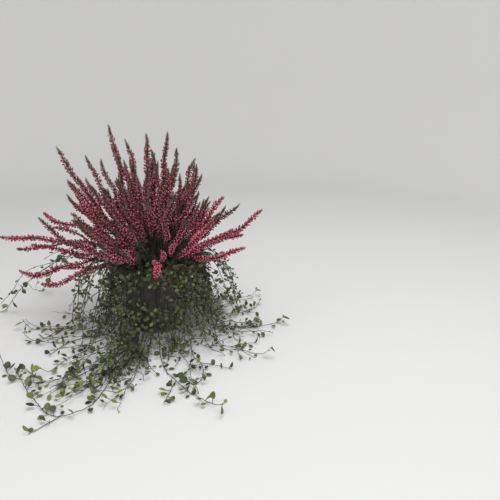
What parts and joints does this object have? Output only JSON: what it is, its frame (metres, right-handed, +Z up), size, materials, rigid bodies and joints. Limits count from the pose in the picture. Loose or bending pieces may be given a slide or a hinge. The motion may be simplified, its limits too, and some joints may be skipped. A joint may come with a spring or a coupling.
{
  "type": "potted heather",
  "caption": "Flowering heather with upright and arching budded spikes and trailing wire vine in a round dark plastic nursery pot, free-standing decoration.",
  "frame": {"origin": "middle of the pot's flat base, on the surface that it stands on", "axes": "+Z up, -Y towards the side that the picture shows, +X to that view's right"},
  "size_m": [0.5429, 0.4727, 0.32],
  "materials": {
    "pot_plastic": "moulded dark taupe-grey plastic, slightly dusty, soft sheen",
    "compost": "damp crumbly dark peat compost",
    "heather_buds": "matte papery magenta buds with pale tips over fine green scale leaves",
    "heather_leaves": "matte dark green scale leaves",
    "vine_leaves": "soft-sheened small round green leaves on thin dark brown wiry stems"
  },
  "bodies": {
    "root": {"compost": "compost", "heather_spray_01": "heather_buds", "heather_spray_02": "heather_buds", "heather_spray_03": "heather_buds", "heather_spray_04": "heather_buds", "heather_spray_05": "heather_buds", "heather_spray_06": "heather_buds", "heather_spray_07": "heather_buds", "heather_spray_08": "heather_buds", "heather_spray_09": "heather_buds", "heather_spray_10": "heather_buds", "heather_spray_11": "heather_buds", "heather_spray_12": "heather_buds", "heather_spray_13": "heather_buds", "heather_spray_14": "heather_buds", "heather_spray_15": "heather_buds", "heather_spray_16": "heather_buds", "heather_spray_17": "heather_buds", "heather_spray_18": "heather_buds", "heather_spray_19": "heather_buds", "heather_spray_20": "heather_buds", "heather_spray_21": "heather_buds", "heather_spray_22": "heather_buds", "heather_spray_23": "heather_buds", "heather_spray_24": "heather_buds", "heather_spray_25": "heather_buds", "heather_spray_26": "heather_buds", "heather_spray_27": "heather_buds", "leafy_shoot_1": "heather_leaves", "leafy_shoot_2": "heather_leaves", "leafy_shoot_3": "heather_leaves", "leafy_shoot_4": "heather_leaves", "pot": "pot_plastic", "vine_runner_01": "vine_leaves", "vine_runner_02": "vine_leaves", "vine_runner_03": "vine_leaves", "vine_runner_04": "vine_leaves", "vine_runner_05": "vine_leaves", "vine_runner_06": "vine_leaves", "vine_runner_07": "vine_leaves", "vine_runner_08": "vine_leaves", "vine_runner_09": "vine_leaves", "vine_runner_10": "vine_leaves", "vine_runner_11": "vine_leaves", "vine_runner_12": "vine_leaves", "vine_runner_13": "vine_leaves", "vine_runner_14": "vine_leaves", "vine_runner_15": "vine_leaves", "vine_runner_16": "vine_leaves"}
  },
  "joints": []
}
